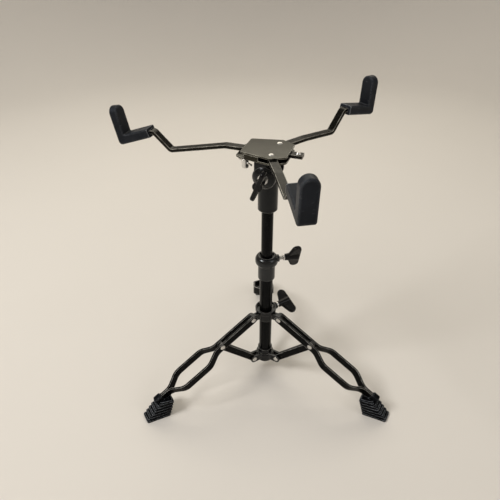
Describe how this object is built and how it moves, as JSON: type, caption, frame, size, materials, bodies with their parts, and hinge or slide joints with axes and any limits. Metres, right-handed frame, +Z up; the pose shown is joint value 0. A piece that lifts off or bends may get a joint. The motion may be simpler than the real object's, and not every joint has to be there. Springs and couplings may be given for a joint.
{
  "type": "snare drum stand",
  "caption": "Folding black snare drum stand: tripod with looped legs, telescopic column, tilter and a three-armed basket with rubber grips.",
  "frame": {"origin": "on the floor under the column, midway between the feet", "axes": "+Z up along the column, +Y towards the rear leg, +X to the right as the picture shows it"},
  "size_m": [0.3898, 0.3919, 0.4425],
  "materials": {
    "black_paint": "semi-gloss black paint",
    "black_casting": "gloss black paint",
    "black_plastic": "gloss moulded",
    "black_rubber": "matte moulded",
    "silver_steel": "zinc plated",
    "nylon": "matte moulded"
  },
  "bodies": {
    "base": {"lower_tube": "black_paint", "bottom_hub": "black_casting", "hub_pin": "silver_steel", "hub_rivets": "silver_steel", "height_clamp": "black_casting", "clamp_liner": "nylon"},
    "height_wing": {"height_wing_grip": "black_plastic", "height_wing_stud": "silver_steel"},
    "collar": {"leg_collar": "black_casting", "collar_rivets": "silver_steel"},
    "collar_wing": {"collar_wing_grip": "black_plastic", "collar_wing_stud": "silver_steel"},
    "guide": {"tube_guide_plug": "nylon"},
    "column": {"upper_tube": "black_paint", "tilter_knuckle": "black_casting", "knuckle_pin": "silver_steel"},
    "basket": {"tilter_yoke": "black_paint", "yoke_rivets": "silver_steel", "basket_bottom_plate": "black_paint", "basket_top_plate": "black_paint", "arm_rivets": "silver_steel", "tilt_bolt": "silver_steel", "tilt_washer": "silver_steel", "thumb_screw_nut": "silver_steel"},
    "tilt_nut": {"tilt_wing_nut": "black_plastic"},
    "thumb_screw": {"basket_thumb_screw": "silver_steel"},
    "slide_arm": {"sliding_arm": "black_paint", "sliding_arm_grip": "black_rubber", "sliding_arm_stop_screw": "silver_steel"},
    "right_arm": {"right_arm": "black_paint", "right_arm_grip": "black_rubber"},
    "front_arm": {"front_arm": "black_paint", "front_arm_grip": "black_rubber"},
    "left_leg": {"left_leg_strip_a": "black_paint", "left_leg_strip_b": "black_paint", "left_leg_rivet": "silver_steel", "left_foot": "black_rubber"},
    "left_brace": {"left_brace": "black_paint"},
    "right_leg": {"right_leg_strip_a": "black_paint", "right_leg_strip_b": "black_paint", "right_leg_rivet": "silver_steel", "right_foot": "black_rubber"},
    "right_brace": {"right_brace": "black_paint"},
    "rear_leg": {"rear_leg_strip_a": "black_paint", "rear_leg_strip_b": "black_paint", "rear_leg_rivet": "silver_steel", "rear_foot": "black_rubber"},
    "rear_brace": {"rear_brace": "black_paint"}
  },
  "joints": [
    {"name": "leg_fold", "type": "slide", "parent": "base", "child": "collar", "axis": [0, 0, 1], "range_m": [0, 0.0536]},
    {"name": "left_leg_hinge", "type": "hinge", "parent": "collar", "child": "left_leg", "pos_m": [-0.02122, -0.01225, 0.118], "axis": [0.5, -0.866, 0], "range_deg": [0, 56.5]},
    {"name": "left_brace_hinge", "type": "hinge", "parent": "base", "child": "left_brace", "pos_m": [-0.01957, -0.0113, 0.0305], "axis": [-0.5, 0.866, 0], "range_deg": [0, 39.3]},
    {"name": "right_leg_hinge", "type": "hinge", "parent": "collar", "child": "right_leg", "pos_m": [0.02122, -0.01225, 0.118], "axis": [0.5, 0.866, 0], "range_deg": [0, 56.5]},
    {"name": "right_brace_hinge", "type": "hinge", "parent": "base", "child": "right_brace", "pos_m": [0.01957, -0.0113, 0.0305], "axis": [-0.5, -0.866, 0], "range_deg": [0, 39.3]},
    {"name": "rear_leg_hinge", "type": "hinge", "parent": "collar", "child": "rear_leg", "pos_m": [0, 0.0245, 0.118], "axis": [-1, 0, 0], "range_deg": [0, 56.5]},
    {"name": "rear_brace_hinge", "type": "hinge", "parent": "base", "child": "rear_brace", "pos_m": [0, 0.0226, 0.0305], "axis": [1, 0, 0], "range_deg": [0, 39.3]},
    {"name": "height_bolt_turn", "type": "hinge", "parent": "base", "child": "height_wing", "pos_m": [0, 0, 0.2205], "axis": [0.9781, 0.2079, 0], "continuous": true},
    {"name": "collar_bolt_turn", "type": "hinge", "parent": "collar", "child": "collar_wing", "pos_m": [0, 0, 0.125], "axis": [0.866, 0.5, 0], "continuous": true},
    {"name": "height_slide", "type": "slide", "parent": "base", "child": "guide", "axis": [0, 0, 1], "range_m": [-0.06, 0.08]},
    {"name": "column_swivel", "type": "hinge", "parent": "guide", "child": "column", "pos_m": [0, 0, 0.118], "axis": [0, 0, 1], "continuous": true},
    {"name": "basket_tilt", "type": "hinge", "parent": "column", "child": "basket", "pos_m": [0, 0, 0.358], "axis": [0.3338, 0.9426, 0], "range_deg": [-40, 40]},
    {"name": "tilt_nut_turn", "type": "hinge", "parent": "basket", "child": "tilt_nut", "pos_m": [0, 0, 0.358], "axis": [-0.3338, -0.9426, 0], "continuous": true},
    {"name": "thumb_screw_turn", "type": "hinge", "parent": "basket", "child": "thumb_screw", "pos_m": [-0.02884, 0.01021, 0.3713], "axis": [0, 0, 1], "continuous": true},
    {"name": "arm_slide", "type": "slide", "parent": "basket", "child": "slide_arm", "axis": [-0.9426, 0.3338, 0], "range_m": [-0.018, 0.0055]},
    {"name": "right_arm_swing", "type": "hinge", "parent": "basket", "child": "right_arm", "pos_m": [0.01408, 0.01369, 0.385], "axis": [0, 0, 1], "range_deg": [-57, 25]},
    {"name": "front_arm_swing", "type": "hinge", "parent": "basket", "child": "front_arm", "pos_m": [0.00233, -0.01949, 0.385], "axis": [0, 0, 1], "range_deg": [-25, 62]}
  ],
  "couplings": [
    {"joint": "left_leg_hinge", "follows": "leg_fold", "rad_per_m": 18.235},
    {"joint": "left_brace_hinge", "follows": "leg_fold", "rad_per_m": 12.634},
    {"joint": "right_leg_hinge", "follows": "leg_fold", "rad_per_m": 18.235},
    {"joint": "right_brace_hinge", "follows": "leg_fold", "rad_per_m": 12.634},
    {"joint": "rear_leg_hinge", "follows": "leg_fold", "rad_per_m": 18.235},
    {"joint": "rear_brace_hinge", "follows": "leg_fold", "rad_per_m": 12.634}
  ]
}
